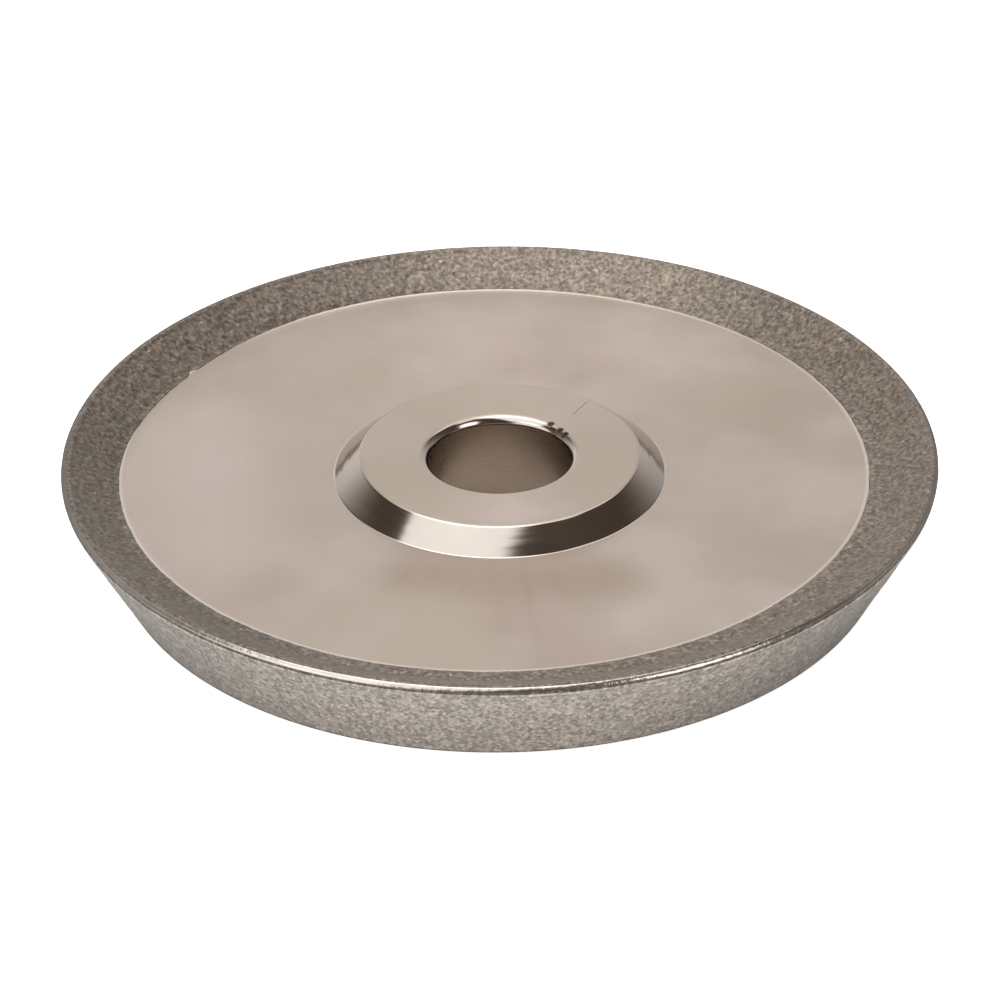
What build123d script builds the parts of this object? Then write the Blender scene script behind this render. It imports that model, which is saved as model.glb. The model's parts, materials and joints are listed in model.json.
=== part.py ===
"""Electroplated grinding wheel with a raised, bevelled hub and a coned side.

The wheel lies on its back face. The origin is on the bore axis in the plane
of the back face, and +Z runs along the bore towards the raised hub.
The body is one turned steel piece. A thin layer of grit, bonded in nickel,
covers the dished border of the front face, the rounded rim and the side.
"""

import math
import os

from build123d import *

# Driving dimensions, in millimetres

# Outline over the grit: the side tapers inwards from the rim to the back face
rim_diameter = 78.0
side_taper = 4.75
rim_height = 9.6
rim_rounding = 0.6

# Front face: a border rises from the flat to the rim
face_height = 7.3
border_width = 4.7

# Hub
hub_top_diameter = 25.0
hub_base_diameter = 29.5
hub_rise = 1.85
hub_edge_rounding = 0.5
hub_root_fillet = 0.25

# Bore
bore_diameter = 12.7
bore_front_rounding = 0.8
bore_back_chamfer = 0.5

# Edge of the back face
back_edge_chamfer = 0.3

# Grit layer: on the front face its inner edge is a circle that sits off the bore axis
layer_thickness = 0.2
layer_width = 5.5
layer_edge_offset_x = -0.5
layer_edge_offset_y = 0.7

# Values that follow from the driving dimensions
rim_radius = rim_diameter / 2
back_radius = rim_radius - side_taper
flat_radius = rim_radius - border_width
layer_edge_radius = rim_radius - layer_width
bore_radius = bore_diameter / 2
hub_top_radius = hub_top_diameter / 2
hub_base_radius = hub_base_diameter / 2
hub_top_height = face_height + hub_rise
layer_edge_offset = math.hypot(layer_edge_offset_x, layer_edge_offset_y)
rounding_centre = (rim_radius - rim_rounding, rim_height - rim_rounding)


def side_direction():
    """Angle of the side line, which leaves the back corner and touches the rim rounding from outside."""
    run = rounding_centre[0] - back_radius
    rise = rounding_centre[1]
    return math.atan2(rise, run) - math.asin(rim_rounding / math.hypot(run, rise))


def dish_direction():
    """Angle of the dish line, which leaves the flat face of the steel and touches its rim rounding from above."""
    run = rounding_centre[0] - flat_radius
    rise = rounding_centre[1] - face_height
    steel_rounding = rim_rounding - layer_thickness
    return math.atan2(rise, run) + math.asin(steel_rounding / math.hypot(run, rise))


side_angle = side_direction()
dish_angle = dish_direction()


def rounding_point(depth, normal_angle):
    """Point on the rim rounding, a given depth under the grit's surface, where the normal has this angle."""
    radius = rim_rounding - depth
    return (
        rounding_centre[0] + radius * math.cos(normal_angle),
        rounding_centre[1] + radius * math.sin(normal_angle),
    )


def side_foot(depth, height):
    """Point on the side line at a height above the back face, a given depth under the grit's surface."""
    return (
        back_radius + height / math.tan(side_angle) - depth / math.sin(side_angle),
        height,
    )


def dish_foot(depth):
    """Corner between the flat face and the dish, a given depth under the grit's surface."""
    cover = layer_thickness - depth
    return (flat_radius - cover * math.tan(dish_angle / 2), face_height + cover)


def rim_outline(depth):
    """Draw the side, the rim rounding and the dish at one depth, and give the two ends of the outline."""
    side_start = side_foot(depth, back_edge_chamfer)
    side_end = rounding_point(depth, side_angle - math.pi / 2)
    crest = rounding_point(depth, (side_angle + dish_angle) / 2)
    dish_start = rounding_point(depth, dish_angle + math.pi / 2)
    dish_end = dish_foot(depth)
    Line(side_start, side_end)
    ThreePointArc(side_end, crest, dish_start)
    Line(dish_start, dish_end)
    return side_start, dish_end


os.makedirs("parts", exist_ok=True)

# Turned steel body
with BuildPart() as wheel_body:
    with BuildSketch(Plane.XZ) as body_section:
        with BuildLine():
            side_start, dish_end = rim_outline(layer_thickness)
            hub_root = (hub_base_radius, face_height)
            hub_edge = (hub_top_radius, hub_top_height)
            bore_mouth = (bore_radius, hub_top_height)
            bore_foot = (bore_radius, 0)
            back_corner = (side_start[0] - back_edge_chamfer, 0)
            Polyline(dish_end, hub_root, hub_edge, bore_mouth, bore_foot, back_corner, side_start)
        make_face()
        fillet(body_section.vertices().sort_by_distance(hub_root)[0], hub_root_fillet)
        fillet(body_section.vertices().sort_by_distance(hub_edge)[0], hub_edge_rounding)
        fillet(body_section.vertices().sort_by_distance(bore_mouth)[0], bore_front_rounding)
        chamfer(body_section.vertices().sort_by_distance(bore_foot)[0], bore_back_chamfer)
    revolve(axis=Axis.Z)
wheel_body.part.label = "wheel_body"

# Grit layer on the dish, the rim and the side
with BuildPart() as abrasive_layer:
    with BuildSketch(Plane.XZ) as layer_section:
        with BuildLine():
            outer_foot, outer_dish_end = rim_outline(0)
            inner_foot, inner_dish_end = rim_outline(layer_thickness)
            blank_radius = layer_edge_radius - layer_edge_offset - layer_thickness
            Line(outer_foot, inner_foot)
            Polyline(
                outer_dish_end,
                (blank_radius, outer_dish_end[1]),
                (blank_radius, inner_dish_end[1]),
                inner_dish_end,
            )
        make_face()
    revolve(axis=Axis.Z)
    with BuildSketch(Plane.XY.offset(face_height)) as masked_circle:
        with Locations((layer_edge_offset_x, layer_edge_offset_y)):
            Circle(layer_edge_radius)
    extrude(amount=rim_height - face_height, mode=Mode.SUBTRACT)
abrasive_layer.part.label = "abrasive_layer"

export_step(wheel_body.part, "parts/wheel_body.step")
export_step(abrasive_layer.part, "parts/abrasive_layer.step")
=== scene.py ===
"""Looks of an electroplated grinding wheel: its nickel-plated steel body, its grit layer and a studio."""

import json
import math
from collections import namedtuple

import bpy
import numpy as np
from bpy.props import FloatProperty, FloatVectorProperty, IntProperty, PointerProperty
from mathutils import Matrix, Vector


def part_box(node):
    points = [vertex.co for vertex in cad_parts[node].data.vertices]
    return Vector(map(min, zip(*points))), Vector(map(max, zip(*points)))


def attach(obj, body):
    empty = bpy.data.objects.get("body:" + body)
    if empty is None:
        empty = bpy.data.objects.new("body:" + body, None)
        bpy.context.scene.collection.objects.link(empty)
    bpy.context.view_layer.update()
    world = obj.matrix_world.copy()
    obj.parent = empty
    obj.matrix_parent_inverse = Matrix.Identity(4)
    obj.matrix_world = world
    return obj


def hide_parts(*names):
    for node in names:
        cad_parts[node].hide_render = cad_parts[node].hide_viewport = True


bl_info = {
    "name": "Plated Grinding Wheel",
    "version": (1, 0, 0),
    "blender": (4, 5, 0),
    "location": "View3D > Sidebar > Wheel",
    "description": "Models the surfaces of a plated grinding wheel and sets it in a pale studio",
    "category": "Object",
}

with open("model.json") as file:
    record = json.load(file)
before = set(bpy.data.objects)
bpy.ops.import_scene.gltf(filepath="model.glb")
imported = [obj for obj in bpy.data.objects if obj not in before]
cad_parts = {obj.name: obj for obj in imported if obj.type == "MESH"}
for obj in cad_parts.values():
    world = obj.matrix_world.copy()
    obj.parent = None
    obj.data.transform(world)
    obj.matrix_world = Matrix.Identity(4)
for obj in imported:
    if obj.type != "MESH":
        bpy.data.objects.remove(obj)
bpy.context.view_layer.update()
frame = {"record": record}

MM = 0.001
QUARTER_TURN = math.pi / 2
BODY = "root"
STEEL_NODE = "wheel_body"
GRIT_NODE = "abrasive_layer"

# A noise texture's values lie around this one
NOISE_MIDDLE = 0.5

# The bevel is this run of the body's outline, counted from 0, and has this many steps
BEVEL_RUN = 8
BEVEL_STEPS = 30

# Wear marks: places on the wheel seen from the front, how far they reach, and how strong they are
SCRATCH = ((6.67 * MM, 6.90 * MM), (7.98 * MM, 9.05 * MM))
SCRATCH_REACH = 0.15 * MM
# The painted highlight beside the scratch: its shift from the scratch, and how far it reaches
SCRATCH_HIGHLIGHT_SHIFT = (-0.13 * MM, 0.06 * MM)
SCRATCH_HIGHLIGHT_REACH = 0.08 * MM
LINE_CORE = 0.01 * MM
NICKS = ((4.66 * MM, 5.22 * MM), (5.45 * MM, 4.13 * MM), (5.89 * MM, 3.40 * MM))
NICK_RADIUS = 0.42 * MM
NICK_SHARE = 0.95
EDGE_NOTCH = (-28.43 * MM, 18.74 * MM)
DARK_SPOT = (-32.7 * MM, 9.6 * MM)
DARK_SPOT_RADIUS = 0.35 * MM

# Soft stains on the front face: the two ends of each, how far it reaches, and its strength. The first, in
# front of the hub, is partly a real stain and partly painted shade.
BROWN_STAINS_AND_HUB_SHADE = (
    ((-7 * MM, -17 * MM), (8 * MM, -18.5 * MM), 6.5 * MM, 0.85),
    ((1 * MM, -21 * MM), (6 * MM, -31 * MM), 8 * MM, 0.6),
    ((2 * MM, 19 * MM), (9 * MM, 18.5 * MM), 6 * MM, 0.4),
    ((24 * MM, 8 * MM), (27 * MM, 12 * MM), 6 * MM, 0.35),
    ((4 * MM, 25 * MM), (6 * MM, 29 * MM), 6 * MM, 0.25),
    ((-19 * MM, -18 * MM), (-21 * MM, -21 * MM), 5 * MM, 0.25),
    ((21 * MM, -12 * MM), (26 * MM, -16 * MM), 8 * MM, 0.25),
)
PALE_STAINS = (
    ((-25 * MM, -12 * MM), (-28 * MM, 6 * MM), 11 * MM, 0.6),
    ((14 * MM, -22 * MM), (18 * MM, -25 * MM), 6 * MM, 0.25),
)

# Painted light and shade on the border: wide patches, the first painted paler and the other two darker: two
# ends, reach, and the change of shade
GRIT_PAINTED_LIGHT_AND_SHADE = (
    ((14 * MM, 34 * MM), (-3 * MM, 37 * MM), 14 * MM, 0.33),
    ((-37 * MM, -3 * MM), (-24 * MM, -28 * MM), 15 * MM, -0.2),
    ((-37 * MM, 4 * MM), (-25 * MM, 27 * MM), 11 * MM, -0.14),
)

# Bright parts of the room: a direction, and the angles from it where the part ends and where it is full
FRONT_LEFT = ((-0.78, -0.6, 0.15), 38, 24)
ZENITH = ((-0.1, 0.27, 0.96), 30, 12)
GLINTS = (((-0.2, 0.52, 0.83), 16, 11), ((0.24, 0.50, 0.83), 19, 14))
RIGHT_STRIP = (((0.40, 0.10, 0.91), 9, 6), ((0.63, -0.46, 0.63), 16, 11))
ZENITH_GAIN = 1.3
EXTRA_GAIN = 1.6

RimLine = namedtuple("RimLine", "side_foot side_end dish_start side_angle dish_angle centre radius")


def mount(name):
    """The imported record's mount of this name."""
    return next(m for m in frame["record"]["mounts"] if m["name"] == name)


def length_property(label, about, default):
    """A length in metres that a user can change."""
    return FloatProperty(name=label, description=about, default=default, unit="LENGTH", precision=5)


def colour_property(label, about, default):
    """A linear colour that a user can change."""
    return FloatVectorProperty(
        name=label, description=about, default=default, subtype="COLOR", size=3, min=0, max=1
    )


def angle_property(label, about, degrees):
    """An angle that a user can change, given in degrees."""
    return FloatProperty(name=label, description=about, default=math.radians(degrees), subtype="ANGLE")


def share_property(label, about, default):
    """A number from 0 to 1 that a user can change."""
    return FloatProperty(name=label, description=about, default=default, subtype="FACTOR", min=0, max=1)


def strength_property(label, about, default):
    """A brightness that a user can change."""
    return FloatProperty(name=label, description=about, default=default, min=0)


def steps_property(default):
    """The number of steps round the axis, which a user can change."""
    return IntProperty(name="Segments", description="Steps round the axis", default=default, min=64)


def bore_ends():
    """Heights of the two ends of the plain bore: the mount's middle, less and plus half its length."""
    bore = mount("bore")
    half = bore["dims"]["length_mm"] * MM / 2
    return bore["pos_m"][2] - half, bore["pos_m"][2] + half


GRIT_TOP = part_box(GRIT_NODE)[1]
STEEL_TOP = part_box(STEEL_NODE)[1]
HUB_TOP = mount("hub_face")["pos_m"][2]
BORE_RADIUS = mount("bore")["dims"]["r_mm"] * MM
BORE_ENDS = bore_ends()


class WheelShape(bpy.types.PropertyGroup):
    """Sizes that the steel body and the grit layer share."""

    rim_radius: length_property("Rim radius", "From the axis to the outside of the grit", GRIT_TOP.x)
    rim_height: length_property("Rim height", "From the back face to the crest of the rim", GRIT_TOP.z)
    rim_rounding: length_property("Rim rounding", "Radius of the rounded rim, over the grit", 0.6 * MM)
    layer_thickness: length_property(
        "Layer thickness", "How far the grit stands proud of the steel", GRIT_TOP.z - STEEL_TOP.z
    )
    side_taper: length_property("Side taper", "How far the back corner lies inside the rim", 4.75 * MM)
    face_height: length_property("Face height", "From the back face to the flat front face", 7.3 * MM)
    border_width: length_property("Border width", "From the rim to the foot of the rising border", 4.7 * MM)
    back_chamfer: length_property("Back edge", "Chamfer between the side and the back face", 0.3 * MM)


class SteelSettings(bpy.types.PropertyGroup):
    """Sizes and colours of the turned steel body."""

    hub_top_radius: length_property(
        "Hub top radius", "Outer radius of the hub's top, to its sharp corner", 12.5 * MM
    )
    hub_base_radius: length_property(
        "Hub base radius", "Radius where the bevel meets the front face", 14.75 * MM
    )
    hub_root: length_property("Hub root", "Fillet between the front face and the bevel", 0.25 * MM)
    hub_edge: length_property("Hub edge", "Rounding between the bevel and the hub's top", 0.5 * MM)
    bevel_crown: length_property("Bevel crown", "How far the bevel bulges over a straight line", 0.03 * MM)
    mouth_rounding: length_property(
        "Mouth rounding", "Rounding at the front end of the bore", HUB_TOP - BORE_ENDS[1]
    )
    bore_chamfer: length_property("Bore chamfer", "Chamfer at the back end of the bore", BORE_ENDS[0])
    segments: steps_property(720)
    tool_mark: length_property(
        "Tool mark", "Height of the ripples that turning left on the bevel", 0.004 * MM
    )
    nick_depth: length_property("Nick depth", "Depth of the nicks in the bore's mouth", 0.012 * MM)
    plating: colour_property("Plating", "Colour of the nickel plating", (0.48, 0.401, 0.354))
    plating_pink: colour_property(
        "Plating, pink", "Colour of the plating's pink clouds", (0.532, 0.442, 0.406)
    )
    plating_beige: colour_property(
        "Plating, beige", "Colour of the plating's beige clouds", (0.451, 0.385, 0.318)
    )
    # Also the colour of the painted shade in front of the hub
    brown_stain_and_shade: colour_property(
        "Plating, brown", "Colour of the brown stains on the plating", (0.37, 0.29, 0.237)
    )
    plating_pale: colour_property(
        "Plating, pale", "Colour of the pale stains on the plating", (0.598, 0.518, 0.48)
    )
    # Painted highlight on the raised lip beside the grit
    lip_highlight: colour_property(
        "Plating lip", "Colour of the pale lip where the face meets the grit", (0.66, 0.585, 0.53)
    )
    polished: colour_property(
        "Polished plating", "Colour of the bevel and the bore's mouth", (0.55, 0.48, 0.43)
    )
    bore_wall: colour_property("Bore wall", "Colour of the steel in the bore", (0.31, 0.235, 0.18))
    nick: colour_property("Nick", "Colour inside the nicks and the scratch", (0.045, 0.022, 0.013))
    # Painted highlight along one side of the scratch
    scratch_highlight: colour_property(
        "Scratch ridge", "Colour of the metal thrown up beside the scratch", (0.68, 0.60, 0.55)
    )
    satin: share_property("Satin roughness", "Roughness of the plated faces", 0.34)
    polish: share_property("Polished roughness", "Roughness of the bevel and the bore's mouth", 0.13)
    bored: share_property("Bore roughness", "Roughness of the bore's wall", 0.3)


class GritSettings(bpy.types.PropertyGroup):
    """Sizes and colours of the grit layer."""

    edge_offset_x: length_property(
        "Edge offset X", "How far the inner edge sits off the axis along X", -0.5 * MM
    )
    edge_offset_y: length_property(
        "Edge offset Y", "How far the inner edge sits off the axis along Y", 0.7 * MM
    )
    edge_width: length_property("Layer width", "From the rim to the inner edge's circle", 5.5 * MM)
    edge_wander: length_property("Edge wander", "How far the plated edge strays from its circle", 0.07 * MM)
    edge_rise: length_property("Edge rise", "Height of the layer's step at its inner edge", 0.04 * MM)
    edge_ease: length_property("Edge ease", "Width over which the layer rises to its thickness", 0.8 * MM)
    grain_height: length_property("Grain height", "Height of the grains on the layer", 0.08 * MM)
    grain_size: length_property("Grain size", "Width of the grains in the layer's pattern", 0.4 * MM)
    segments: steps_property(1090)
    dark: colour_property("Dark grit", "Colour between the grains of the border", (0.0855, 0.0657, 0.0504))
    light: colour_property("Light grit", "Colour of the grains' faces on the border", (0.284, 0.228, 0.184))
    # Painted light: the side's grit colours are lighter than the border's, for the light the side gets
    painted_lit_side_dark: colour_property(
        "Dark side grit", "Colour between the grains of the side", (0.33, 0.29, 0.26)
    )
    painted_lit_side_light: colour_property(
        "Light side grit", "Colour of the grains' faces on the side", (0.60, 0.54, 0.49)
    )
    # Painted glints on a very few grains
    painted_glint: colour_property("Shining grains", "Colour of the few grains that shine", (0.62, 0.59, 0.55))
    spot: colour_property("Dark spot", "Colour of the one dark spot on the border", (0.05, 0.042, 0.036))
    # Painted shadow under the rim bead
    painted_shadow_dark: colour_property(
        "Dark groove", "Darker colour of the groove under the rim bead", (0.07, 0.055, 0.043)
    )
    painted_shadow_light: colour_property(
        "Light groove", "Lighter colour of the groove under the rim bead", (0.22, 0.18, 0.15)
    )
    bead: colour_property("Rim bead", "Colour of the thick plating on the rim", (0.59, 0.53, 0.475))
    roughness: share_property("Roughness", "Roughness of the grains", 0.46)
    painted_shadow_roughness: share_property("Groove roughness", "Roughness of the groove", 0.6)
    border_metal: share_property(
        "Border metal", "How much of the border and groove looks like metal, and not like stone", 0.3
    )
    side_metal: share_property(
        "Side metal", "How much of the side looks like metal, and not like stone", 0.7
    )
    bead_roughness: share_property("Bead roughness", "Roughness of the plating on the rim", 0.25)


class StudioSettings(bpy.types.PropertyGroup):
    """The camera, the lamps and the floor."""

    lens: FloatProperty(name="Lens", description="Focal length of the camera in mm", default=170.4, min=10)
    distance: length_property("Distance", "From the camera to the middle of the rim", 0.4216)
    elevation: angle_property("Elevation", "Height of the camera over the rim", 30.39)
    tilt: angle_property("Tilt", "Turn of the camera downwards from the wheel", 0.615)
    roll: angle_property("Roll", "Turn of the camera about its own axis", 0.665)
    floor_colour: colour_property("Floor", "Colour of the floor", (0.88, 0.88, 0.87))
    floor_glow: strength_property("Floor glow", "White added to the floor where it is seen", 0.8)
    paper: colour_property("Paper", "Colour of the white paper behind the wheel", (0.95, 0.94, 0.92))
    room: colour_property("Room", "Colour of the dark room above and in front", (0.09, 0.071, 0.055))
    key_colour: colour_property("Key colour", "Colour of the soft box", (0.93, 0.98, 1.0))
    key_strength: strength_property("Soft box", "Brightness of the large soft box", 1.65)
    side_strength: strength_property("Side lamp", "Brightness of the small side lamp", 2.6)


def straight(start, end, steps):
    """Points of a straight run: start plus equal shares of the way to the end, without the end itself."""
    share = np.arange(steps)[:, None] / steps
    return np.asarray(start) + share * (np.asarray(end) - np.asarray(start))


def crowned(start, end, crown, steps):
    """Points of a run that bulges to its right.

    They are a straight run's points plus the crown times 4 s (1 - s), where s goes from 0 to 1.
    """
    points = straight(start, end, steps)
    run = np.asarray(end) - np.asarray(start)
    right = np.array([run[1], -run[0]]) / np.hypot(*run)
    share = np.arange(steps)[:, None] / steps
    return points + crown * 4 * share * (1 - share) * right


def arc(centre, radius, first, last, steps):
    """Points of an arc: the centre plus the radius at even angles from first to last, last left out."""
    angle = first + (last - first) * np.arange(steps) / steps
    return np.asarray(centre) + radius * np.stack([np.cos(angle), np.sin(angle)], axis=1)


def rim_line(shape, depth):
    """The side, the rounded rim and the rising border at a depth under the grit, as radius and height.

    The side leaves the back corner and touches the rim's circle from outside. The border leaves the
    steel's flat face and touches the steel's rim circle from above. Both move inwards with the depth.
    """
    centre = np.array([shape.rim_radius - shape.rim_rounding, shape.rim_height - shape.rim_rounding])
    run = centre - (shape.rim_radius - shape.side_taper, 0)
    side_angle = math.atan2(run[1], run[0]) - math.asin(shape.rim_rounding / np.hypot(*run))
    climb = centre - (shape.rim_radius - shape.border_width, shape.face_height)
    steel_rounding = shape.rim_rounding - shape.layer_thickness
    dish_angle = math.atan2(climb[1], climb[0]) + math.asin(steel_rounding / np.hypot(*climb))
    radius = shape.rim_rounding - depth
    side_end = centre + radius * np.array([math.sin(side_angle), -math.cos(side_angle)])
    dish_start = centre + radius * np.array([-math.sin(dish_angle), math.cos(dish_angle)])
    drop = (side_end[1] - shape.back_chamfer) / math.tan(side_angle)
    side_foot = np.array([side_end[0] - drop, shape.back_chamfer])
    return RimLine(side_foot, side_end, dish_start, side_angle, dish_angle, centre, radius)


def border_height(shape, radius, depth):
    """Height of the flat face or the rising border at a radius: the higher of the two planes."""
    line = rim_line(shape, depth)
    flat = shape.face_height + shape.layer_thickness - depth
    rise = line.dish_start[1] - (line.dish_start[0] - radius) * math.tan(line.dish_angle)
    return np.maximum(flat, rise)


def smooth_noise(rng, count, knots):
    """One value for each of count steps round the axis: random knots joined by cosine easing into a ring."""
    values = rng.uniform(-1, 1, knots)
    along = np.arange(count) * knots / count
    index = along.astype(int)
    ease = 0.5 - 0.5 * np.cos(np.pi * (along - index))
    return values[index % knots] * (1 - ease) + values[(index + 1) % knots] * ease


def bell(distance, width):
    """A bell curve: 1 at no distance, and e to the minus a half at one width."""
    return np.exp(-0.5 * (distance / width) ** 2)


def around_from(angle, middle):
    """Each angle's way round from a middle angle, from minus half a turn to half a turn."""
    return (angle - middle + np.pi) % (2 * np.pi) - np.pi


def revolve_mesh(name, radius, height, zones):
    """Close a grid of radius and height, rows round the axis and columns along the profile, into a mesh.

    A vertex stands at radius times the cosine and sine of its row's angle, and at its height. Both
    directions wrap, so the surface is a closed ring. zones gives each column's material index.
    The UV map holds the share of a turn, and the distance along the profile.
    """
    rows, columns = radius.shape
    angle = 2 * np.pi * np.arange(rows) / rows
    points = np.stack([radius * np.cos(angle)[:, None], radius * np.sin(angle)[:, None], height], axis=2)
    row, column = np.meshgrid(np.arange(rows), np.arange(columns), indexing="ij")
    next_row, next_column = (row + 1) % rows, (column + 1) % columns
    corners = np.stack([row, next_row, next_row, row], axis=2) * columns
    corners = corners + np.stack([column, column, next_column, next_column], axis=2)
    quads = corners.reshape(-1, 4)

    mesh = bpy.data.meshes.new(name)
    mesh.vertices.add(rows * columns)
    mesh.vertices.foreach_set("co", points.astype(np.float32).ravel())
    mesh.loops.add(quads.size)
    mesh.loops.foreach_set("vertex_index", quads.astype(np.int32).ravel())
    mesh.polygons.add(len(quads))
    mesh.polygons.foreach_set("loop_start", np.arange(0, quads.size, 4, dtype=np.int32))
    mesh.polygons.foreach_set("material_index", np.tile(np.asarray(zones, np.int32), rows))
    mesh.polygons.foreach_set("use_smooth", np.ones(len(quads), bool))

    steps = np.hypot(np.diff(radius[0], append=radius[0, :1]), np.diff(height[0], append=height[0, :1]))
    along = np.concatenate([[0], np.cumsum(steps)]) / MM
    turn = np.arange(rows + 1) / rows
    u = np.stack([turn[row], turn[row + 1], turn[row + 1], turn[row]], axis=2)
    v = np.stack([along[column], along[column], along[column + 1], along[column + 1]], axis=2)
    layer = mesh.uv_layers.new(name="Turning")
    layer.data.foreach_set("uv", np.stack([u, v], axis=3).astype(np.float32).ravel())
    mesh.update()
    mesh.validate()
    point_outwards(mesh)
    return mesh


def point_outwards(mesh):
    """Turn the faces round if the volume inside them, summed over the quads' triangles, is negative."""
    co = np.empty(len(mesh.vertices) * 3, np.float32)
    mesh.vertices.foreach_get("co", co)
    index = np.empty(len(mesh.loops), np.int32)
    mesh.loops.foreach_get("vertex_index", index)
    a, b, c, d = (co.reshape(-1, 3)[index.reshape(-1, 4)[:, k]].astype(float) for k in range(4))
    volume = np.sum(np.cross(a, b) * c) + np.sum(np.cross(a, c) * d)
    if volume < 0:
        mesh.flip_normals()


def place(name, mesh, node, materials):
    """Link a finished mesh as a piece that stands for a CAD node, with its materials in order."""
    piece = bpy.data.objects.new(name, mesh)
    bpy.context.scene.collection.objects.link(piece)
    for material in materials:
        mesh.materials.append(material)
    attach(piece, BODY)
    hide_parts(node)
    return piece


def fill(tree, socket, value):
    """Give an input a value, or a link from another socket. A colour gets full opacity."""
    if isinstance(value, bpy.types.NodeSocket):
        tree.links.new(value, socket)
    elif socket.type == "RGBA":
        socket.default_value = (*value[:3], 1)
    else:
        socket.default_value = value


def put(tree, kind, inputs=None, **settings):
    """Add a shader node of a kind, set its properties, and fill its inputs."""
    made = tree.nodes.new("ShaderNode" + kind)
    for name, value in settings.items():
        setattr(made, name, value)
    for name, value in (inputs or {}).items():
        fill(tree, made.inputs[name], value)
    return made


def maths(tree, operation, first, second=0.0, clamp=False):
    """One Math node's output, from two values or sockets."""
    return put(tree, "Math", {0: first, 1: second}, operation=operation, use_clamp=clamp).outputs[0]


def times(tree, first, second):
    """The product of two values or sockets."""
    return maths(tree, "MULTIPLY", first, second)


def vector_maths(tree, operation, first, second=(0, 0, 0)):
    """One Vector Math node's output, from two vectors, or from a vector and a number for SCALE."""
    inputs = {0: first, "Scale" if operation == "SCALE" else 1: second}
    result = "Value" if operation in ("LENGTH", "DISTANCE", "DOT_PRODUCT") else "Vector"
    return put(tree, "VectorMath", inputs, operation=operation).outputs[result]


def ramp(tree, value, low, high, start=0.0, end=1.0, easing="SMOOTHSTEP"):
    """Map a value from low and high to start and end, eased and held at the ends."""
    inputs = {"Value": value, "From Min": low, "From Max": high, "To Min": start, "To Max": end}
    return put(tree, "MapRange", inputs, interpolation_type=easing).outputs["Result"]


def noise(tree, vector, scale, **inputs):
    """A noise texture's value at a place."""
    return put(tree, "TexNoise", {"Vector": vector, "Scale": scale, **inputs}).outputs[0]


def blend_colour(tree, factor, first, second, blend="MIX"):
    """Mix two colours by a factor."""
    inputs = {0: factor, 6: first, 7: second}
    return put(tree, "Mix", inputs, data_type="RGBA", blend_type=blend).outputs[2]


def tint(tree, colour, towards, mask, share):
    """Blend a colour towards another one by a share of a mask."""
    return blend_colour(tree, times(tree, mask, share), colour, towards)


def new_group(name, inputs, outputs):
    """An empty shader node group with sockets of the given names and kinds, and its two end nodes."""
    group = bpy.data.node_groups.new(name, "ShaderNodeTree")
    for side, sockets in (("INPUT", inputs), ("OUTPUT", outputs)):
        for label, kind in sockets.items():
            group.interface.new_socket(label, in_out=side, socket_type="NodeSocket" + kind)
    return group, group.nodes.new("NodeGroupInput"), group.nodes.new("NodeGroupOutput")


def use_group(tree, name, inputs):
    """Place a node group in a material, with its own values."""
    return put(tree, "Group", inputs, node_tree=bpy.data.node_groups[name])


def make_cloud_group():
    """Soft clouds for the plating.

    Two sizes of noise are summed about nothing, multiplied by the contrast, and held to a mask.
    """
    finer, fine_share = 3.1, 0.4
    sockets = {"Vector": "Vector", "Scale": "Float", "Contrast": "Float"}
    group, start, end = new_group("Plating clouds", sockets, {"Mask": "Float"})
    vector, scale = start.outputs["Vector"], start.outputs["Scale"]
    large = noise(group, vector, scale, Detail=2.0, Roughness=0.55)
    small = noise(group, vector, times(group, scale, finer), Detail=3.0)
    fine = times(group, maths(group, "SUBTRACT", small, NOISE_MIDDLE), fine_share)
    centred = maths(group, "ADD", maths(group, "SUBTRACT", large, NOISE_MIDDLE), fine)
    stronger = times(group, centred, start.outputs["Contrast"])
    fill(group, end.inputs["Mask"], maths(group, "ADD", stronger, NOISE_MIDDLE, clamp=True))


def make_turning_group():
    """Fine marks that run round the axis.

    The noise is read at the radius plus the height over the pitch, and at the sweep times the cosine
    and the sine of the angle, so that it changes fast across the marks and slowly along them.
    """
    sockets = {"Vector": "Vector", "Pitch": "Float", "Sweep": "Float"}
    group, start, end = new_group("Turning marks", sockets, {"Height": "Float"})
    apart = put(group, "SeparateXYZ", {"Vector": start.outputs["Vector"]})
    flat = put(group, "CombineXYZ", {axis: apart.outputs[axis] for axis in "XY"}).outputs[0]
    radius, around = vector_maths(group, "LENGTH", flat), vector_maths(group, "NORMALIZE", flat)
    slow = vector_maths(group, "SCALE", around, start.outputs["Sweep"])
    slow = put(group, "SeparateXYZ", {"Vector": slow})
    reach = maths(group, "ADD", radius, apart.outputs["Z"])
    across = maths(group, "DIVIDE", reach, start.outputs["Pitch"])
    spot = put(group, "CombineXYZ", {"X": across, "Y": slow.outputs["X"], "Z": slow.outputs["Y"]})
    fill(group, end.inputs["Height"], noise(group, spot.outputs[0], 1.0, Detail=2.0))


def make_streak_group():
    """Faint streaks that run outwards.

    The noise is read at the count times the cosine and the sine of the angle, and at a height that
    grows slowly with the radius. Its upper part is eased to a mask and multiplied by the share.
    """
    per_metre, clear, full = 60.0, 0.52, 0.75
    sockets = {"Vector": "Vector", "Count": "Float", "Share": "Float"}
    group, start, end = new_group("Radial streaks", sockets, {"Mask": "Float"})
    flat = vector_maths(group, "MULTIPLY", start.outputs["Vector"], (1, 1, 0))
    radius, around = vector_maths(group, "LENGTH", flat), vector_maths(group, "NORMALIZE", flat)
    fast = vector_maths(group, "SCALE", around, start.outputs["Count"])
    lift = put(group, "CombineXYZ", {"Z": times(group, radius, per_metre)}).outputs[0]
    grown = noise(group, vector_maths(group, "ADD", fast, lift), 1.0, Detail=3.0)
    streaks = ramp(group, grown, clear, full)
    fill(group, end.inputs["Mask"], times(group, streaks, start.outputs["Share"]))


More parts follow.
